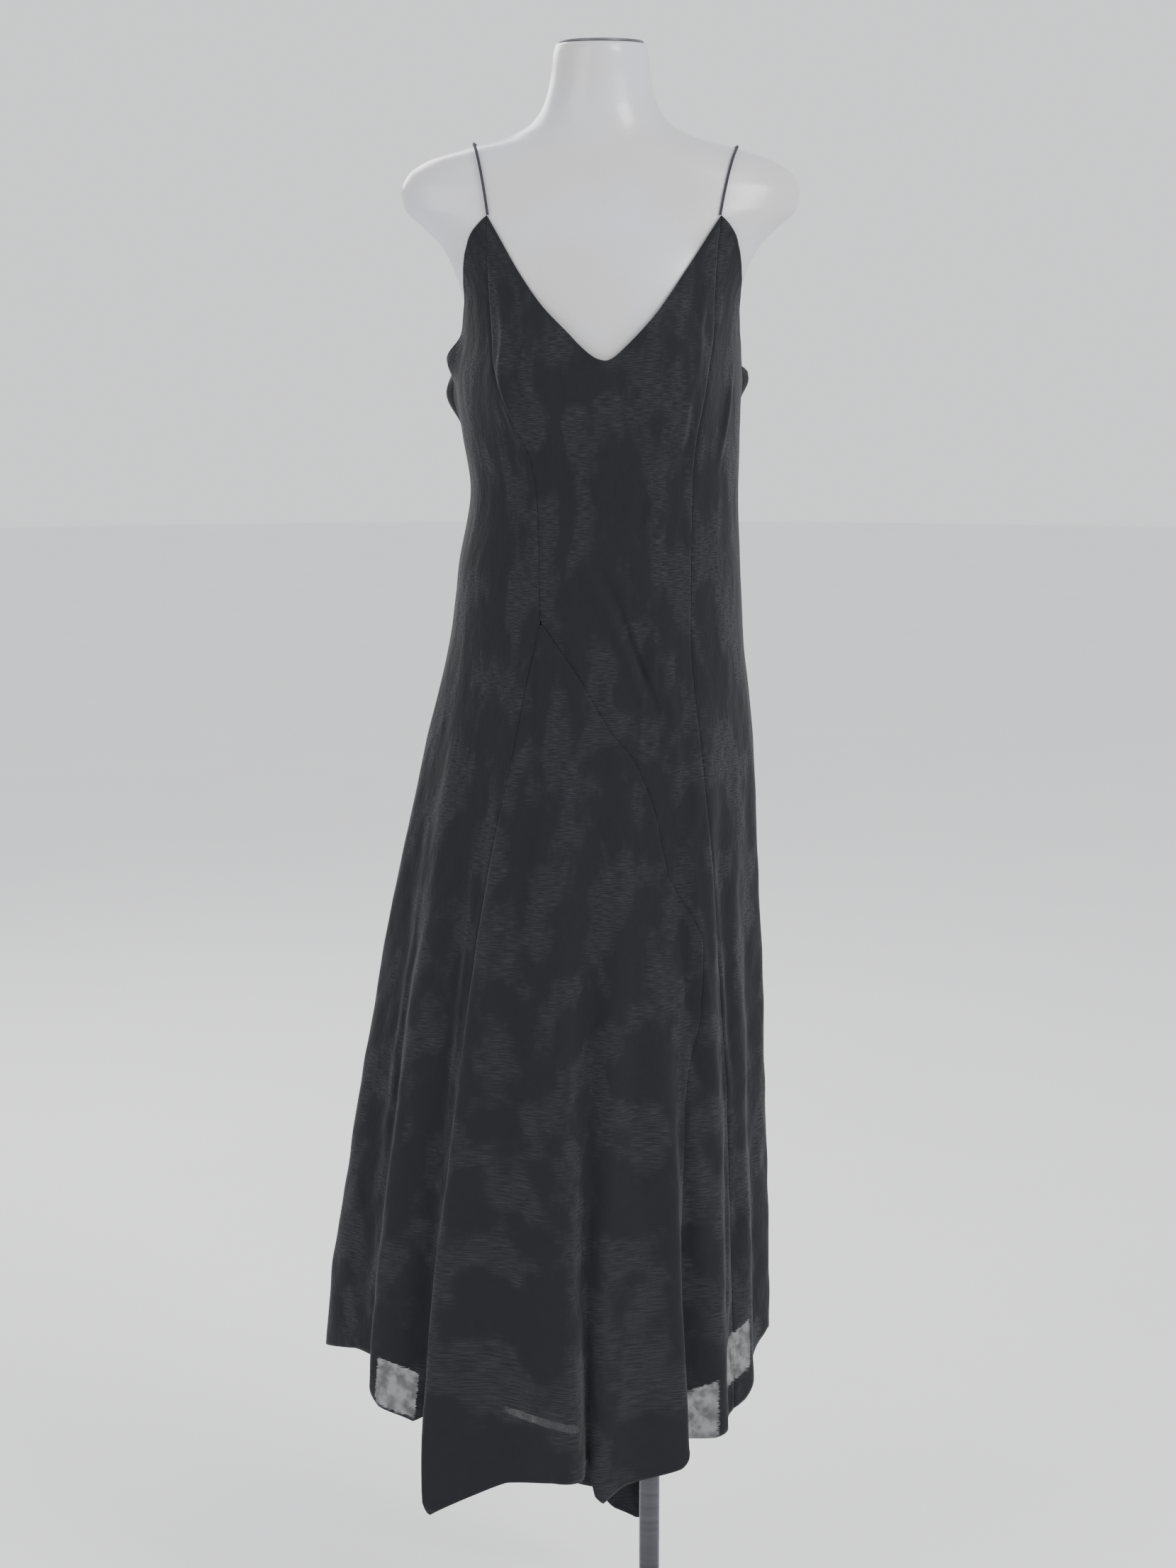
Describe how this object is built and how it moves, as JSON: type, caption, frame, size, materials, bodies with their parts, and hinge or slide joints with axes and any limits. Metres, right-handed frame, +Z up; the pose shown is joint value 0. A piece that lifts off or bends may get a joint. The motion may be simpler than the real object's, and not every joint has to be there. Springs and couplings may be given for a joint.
{
  "type": "sheath dress on a dress form",
  "caption": "Black bias-cut V-neck slip dress on thin straps with an uneven handkerchief hem, on a pale limbless dress form with a pole and round base.",
  "frame": {"origin": "centre of the stand base's underside, on the pole's axis", "axes": "+Z up along the pole, -Y the front of the dress, +X to the right of someone who looks at its front"},
  "size_m": [0.5121, 0.3445, 1.73],
  "materials": {
    "dress_cloth": "matte",
    "strap_cloth": "matte",
    "form_shell": "gloss",
    "cap_metal": "satin",
    "pole_metal": "satin",
    "stand_paint": "satin"
  },
  "bodies": {
    "root": {"front_centre": "dress_cloth", "front_side_left": "dress_cloth", "front_side_right": "dress_cloth", "front_godet": "dress_cloth", "back_left": "dress_cloth", "back_right": "dress_cloth", "strap_left": "strap_cloth", "strap_right": "strap_cloth", "form_torso": "form_shell", "neck_cap": "cap_metal", "stand_pole": "pole_metal", "stand_collar": "stand_paint", "stand_hub": "stand_paint", "stand_base": "stand_paint"}
  },
  "joints": []
}
